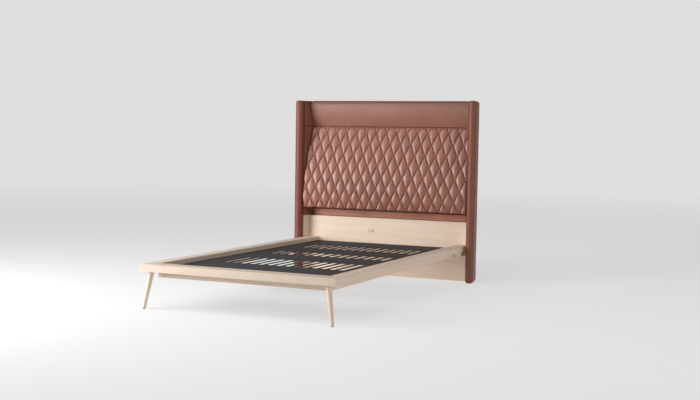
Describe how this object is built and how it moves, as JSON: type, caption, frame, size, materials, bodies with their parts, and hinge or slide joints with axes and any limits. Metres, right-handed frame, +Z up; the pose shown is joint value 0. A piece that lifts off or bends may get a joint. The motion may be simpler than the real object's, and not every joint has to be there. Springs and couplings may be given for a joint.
{
  "type": "upholstered bed",
  "caption": "Low wooden bed frame with a slotted deck, splayed round legs and a tall leather headboard with flared wings and diamond quilting.",
  "frame": {"origin": "on the floor under the middle of the whole bed", "axes": "+X to the right seen from the foot end, +Y from the foot end to the headboard, +Z up"},
  "size_m": [1.3776, 2.1864, 1.25],
  "materials": {
    "oak": "fine straight grain, matt lacquer",
    "leather": "smooth semi-matt brown leather over foam",
    "plywood": "plain birch plywood and softwood, unfinished",
    "deck": "charcoal painted board, low sheen",
    "steel": "brown zinc plate",
    "brass": "satin brass, blank",
    "nylon": "matt black nylon",
    "cloth": "dark woven dust cover"
  },
  "bodies": {
    "root": {"front_rail": "oak", "side_rail_left": "oak", "side_rail_right": "oak", "mitre_spline_left": "plywood", "mitre_spline_right": "plywood", "rail_bearer_left": "oak", "rail_bearer_right": "oak", "rail_bolt_left": "steel", "rail_bolt_right": "steel", "panel_bolt_left": "steel", "panel_bolt_right": "steel", "apron_front": "oak", "apron_rear": "oak", "apron_left": "oak", "apron_right": "oak", "cross_batten_foot": "oak", "cross_batten_front": "oak", "cross_batten_middle": "oak", "cross_batten_head": "oak", "deck_panel_front": "deck", "deck_panel_middle": "deck", "deck_panel_rear": "deck", "leg_left": "oak", "leg_right": "oak", "leg_stud_left": "steel", "leg_stud_right": "steel", "leg_glide_left": "nylon", "leg_glide_right": "nylon", "wing_cover_left": "leather", "wing_cover_right": "leather", "wing_core_left": "plywood", "wing_core_right": "plywood", "wing_lining_left": "leather", "wing_lining_right": "leather", "wing_lining_top_left": "leather", "wing_lining_top_right": "leather", "wing_wood_return_left": "oak", "wing_wood_return_right": "oak", "wing_glide_front_left": "nylon", "wing_glide_front_right": "nylon", "wing_glide_rear_left": "nylon", "wing_glide_rear_right": "nylon", "top_band": "leather", "quilted_panel": "leather", "leather_rail": "leather", "headboard_board": "plywood", "wood_panel": "oak", "joining_batten": "plywood", "cross_bar": "plywood", "back_cover": "cloth", "blank_plate": "brass"}
  },
  "joints": []
}
